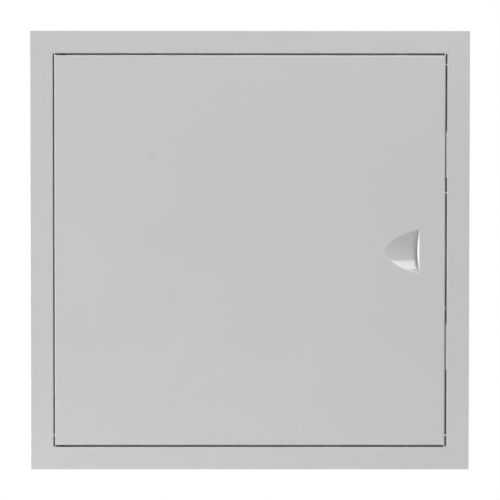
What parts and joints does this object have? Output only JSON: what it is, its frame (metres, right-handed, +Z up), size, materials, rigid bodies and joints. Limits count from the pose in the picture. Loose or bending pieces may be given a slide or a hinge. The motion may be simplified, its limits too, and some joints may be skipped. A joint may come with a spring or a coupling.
{
  "type": "access panel",
  "caption": "Square flush steel access panel: a picture frame with a collar for a wall opening, and a pin-hinged leaf with a pressed finger scoop, held shut by magnets.",
  "frame": {"origin": "middle of the back of the bottom flange, on the wall face; the middle of the panel is 209.1 mm above it", "axes": "+X to the right as seen from the front, +Y into the wall, +Z up; the panel faces -Y"},
  "size_m": [0.44, 0.022, 0.44],
  "materials": {
    "frame_paint": "semi-gloss light grey powder coat on 0.8 mm steel sheet",
    "leaf_paint": "semi-gloss light grey powder coat on 0.8 mm steel sheet",
    "pin_steel": "blackened turned steel",
    "catch_plastic": "white moulded plastic",
    "ferrite": "dark grey sintered ferrite",
    "pole_steel": "zinc-plated steel plate",
    "rivet_metal": "plain aluminium"
  },
  "bodies": {
    "frame": {"frame_top_rail": "frame_paint", "frame_bottom_rail": "frame_paint", "frame_hinge_stile": "frame_paint", "frame_latch_stile": "frame_paint", "catch_housing_upper": "catch_plastic", "catch_plate_upper": "catch_plastic", "catch_magnet_upper": "ferrite", "catch_inner_pole_upper": "pole_steel", "catch_outer_pole_upper": "pole_steel", "catch_top_rivet_upper": "rivet_metal", "catch_bottom_rivet_upper": "rivet_metal", "catch_housing_lower": "catch_plastic", "catch_plate_lower": "catch_plastic", "catch_magnet_lower": "ferrite", "catch_inner_pole_lower": "pole_steel", "catch_outer_pole_lower": "pole_steel", "catch_top_rivet_lower": "rivet_metal", "catch_bottom_rivet_lower": "rivet_metal"},
    "leaf": {"door_leaf": "leaf_paint", "hinge_pin_top": "pin_steel", "hinge_pin_bottom": "pin_steel", "hinge_bracket_top": "leaf_paint", "hinge_bracket_bottom": "leaf_paint"}
  },
  "joints": [
    {"name": "leaf_hinge", "type": "hinge", "parent": "frame", "child": "leaf", "pos_m": [-0.1863, 0.0037, 0.2091], "axis": [0, 0, -1], "range_deg": [0, 105]}
  ]
}
